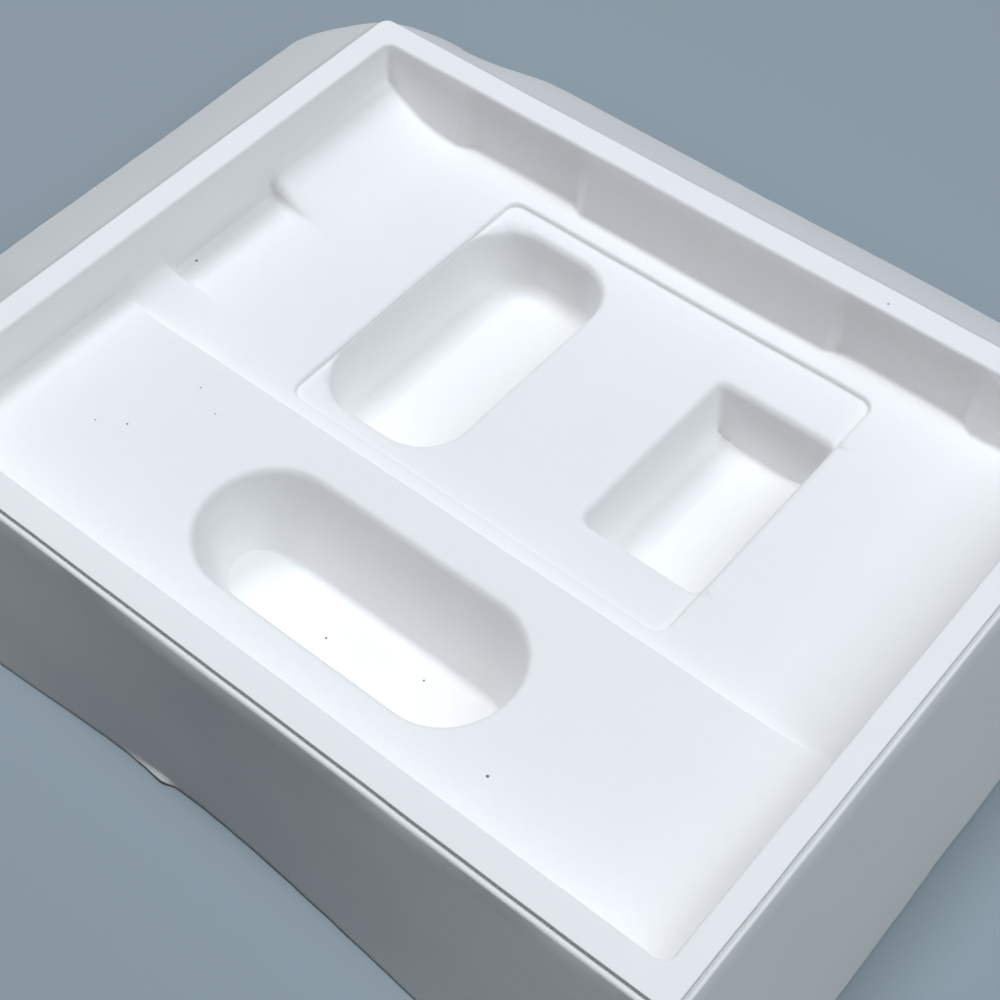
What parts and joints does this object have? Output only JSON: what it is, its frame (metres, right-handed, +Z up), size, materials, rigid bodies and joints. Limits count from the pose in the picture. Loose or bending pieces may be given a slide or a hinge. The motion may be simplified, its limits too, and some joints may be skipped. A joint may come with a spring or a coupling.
{
  "type": "molded pulp packaging insert",
  "caption": "Tray-like moulded pulp insert with a flat rim, flared skirt, shelf with a pill-shaped pocket, and a ramped cradle with two deep pockets.",
  "frame": {"origin": "centre of the outline's bounding box, on the table", "axes": "+X to the right along the long side, +Y to the back, away from the front shelf, +Z up"},
  "size_m": [0.3206, 0.2624, 0.045],
  "materials": {
    "pulp": "matte"
  },
  "bodies": {
    "root": {"pulp_insert": "pulp"}
  },
  "joints": []
}
